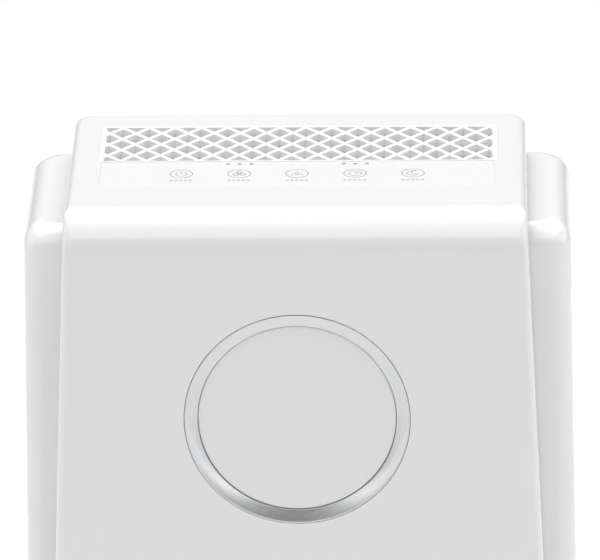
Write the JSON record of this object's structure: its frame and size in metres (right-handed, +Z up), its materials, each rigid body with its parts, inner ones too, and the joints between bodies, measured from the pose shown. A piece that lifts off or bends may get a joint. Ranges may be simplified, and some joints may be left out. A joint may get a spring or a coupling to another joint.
{
  "type": "air purifier",
  "caption": "Free-standing room air purifier: touch keys and diamond air outlet on top, ringed disc in front, filter door at the back.",
  "frame": {"origin": "centre of the bounding box's base, on the floor under the feet", "axes": "+X to the right seen from the front, +Y to the back, +Z up"},
  "size_m": [0.343, 0.178, 0.475],
  "materials": {
    "shell": "gloss white injection moulding",
    "insert": "satin white, flush in the hood",
    "aluminium": "turned, fine circular brushing",
    "inner": "plain light grey moulding",
    "rubber": "matte",
    "steel": "zinc plated",
    "board": "green solder mask",
    "black": "fine textured moulding",
    "carbon": "activated carbon granules in a frame",
    "paper": "pleated glass-fibre paper",
    "clear": "clear moulding",
    "wire": "PVC sleeve"
  },
  "bodies": {
    "casing": {"rear_housing": "shell", "front_hood": "shell", "front_disc": "shell", "base_tray": "inner", "filter_bay": "inner", "scroll_casing": "inner", "outlet_duct": "inner", "foot_1": "rubber", "foot_2": "rubber", "foot_3": "rubber", "foot_4": "rubber", "filter_seal": "rubber", "base_screw_1": "steel", "base_screw_2": "steel", "base_screw_3": "steel", "base_screw_4": "steel", "touch_spring_1": "steel", "touch_spring_2": "steel", "touch_spring_3": "steel", "touch_spring_4": "steel", "touch_spring_5": "steel", "hinge_pin_left": "steel", "door_strike_left": "steel", "hinge_pin_right": "steel", "door_strike_right": "steel", "motor": "steel", "motor_screw_1": "steel", "motor_screw_2": "steel", "motor_screw_3": "steel", "ioniser_brush": "steel", "inlet_pin_1": "steel", "inlet_pin_2": "steel", "outlet_grille": "insert", "touch_overlay": "insert", "ring_bezel": "aluminium", "control_board": "board", "power_board": "board", "light_guide": "clear", "door_switch": "black", "ioniser_module": "black", "power_inlet": "black", "carbon_filter": "carbon", "hepa_filter": "paper", "control_cable": "wire", "ioniser_lead": "wire", "motor_lead": "wire", "mains_lead": "wire"},
    "door": {"rear_door": "shell", "pre_filter": "black", "door_magnet_left": "steel", "door_magnet_right": "steel"},
    "rotor": {"impeller": "black", "motor_shaft": "steel", "impeller_nut": "steel"}
  },
  "joints": [
    {"name": "door_hinge", "type": "hinge", "parent": "casing", "child": "door", "pos_m": [0, 0.084, 0.044], "axis": [-1, 0, 0], "range_deg": [0, 90]},
    {"name": "fan_spin", "type": "hinge", "parent": "casing", "child": "rotor", "pos_m": [0, 0, 0.1915], "axis": [0, -1, 0], "continuous": true}
  ]
}
